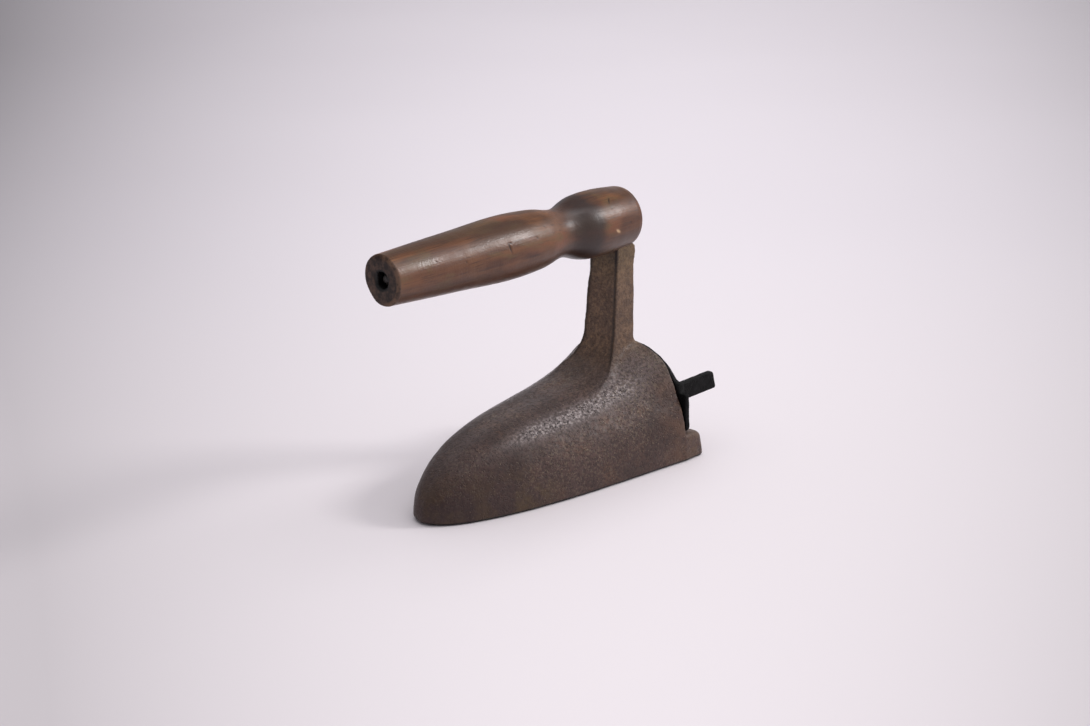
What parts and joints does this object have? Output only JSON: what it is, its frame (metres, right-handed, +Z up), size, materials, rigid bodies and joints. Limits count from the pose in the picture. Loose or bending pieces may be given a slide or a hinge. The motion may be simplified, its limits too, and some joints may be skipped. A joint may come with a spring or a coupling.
{
  "type": "slug iron",
  "caption": "Hollow bullet-shaped clothes iron with one rear post, a turned wooden handle and a gate at the rear that closes over a sliding heater slug",
  "frame": {"origin": "the centre of the sole's length, on the sole plane and on the plane of symmetry of the sole", "axes": "+X from the heel towards the nose, +Y towards the side that carries the gate's lug, +Z up from the sole"},
  "size_m": [0.194, 0.091, 0.1407],
  "materials": {
    "casting": "rough brown cast surface with a worn sheen and light rust tints",
    "slug_iron": "rough grey casting with fire scale",
    "gate_iron": "near-black rough casting",
    "fastener_iron": "dull dark iron",
    "handle_wood": "old dark red-brown hardwood with a worn satin polish"
  },
  "bodies": {
    "iron": {"body": "casting", "gate_rivet": "fastener_iron", "gate_washer": "fastener_iron", "handle": "handle_wood", "tie_rod": "fastener_iron", "rod_washer": "fastener_iron", "rod_nut": "fastener_iron"},
    "gate": {"gate": "gate_iron"},
    "slug": {"slug": "slug_iron"}
  },
  "joints": [
    {"name": "gate_hinge", "type": "hinge", "parent": "iron", "child": "gate", "pos_m": [-0.0687, -0.03977, 0.02], "axis": [1, 0, 0], "range_deg": [0, 90]},
    {"name": "slug_slide", "type": "slide", "parent": "iron", "child": "slug", "axis": [1, 0, 0], "range_m": [-0.005, 0]}
  ]
}
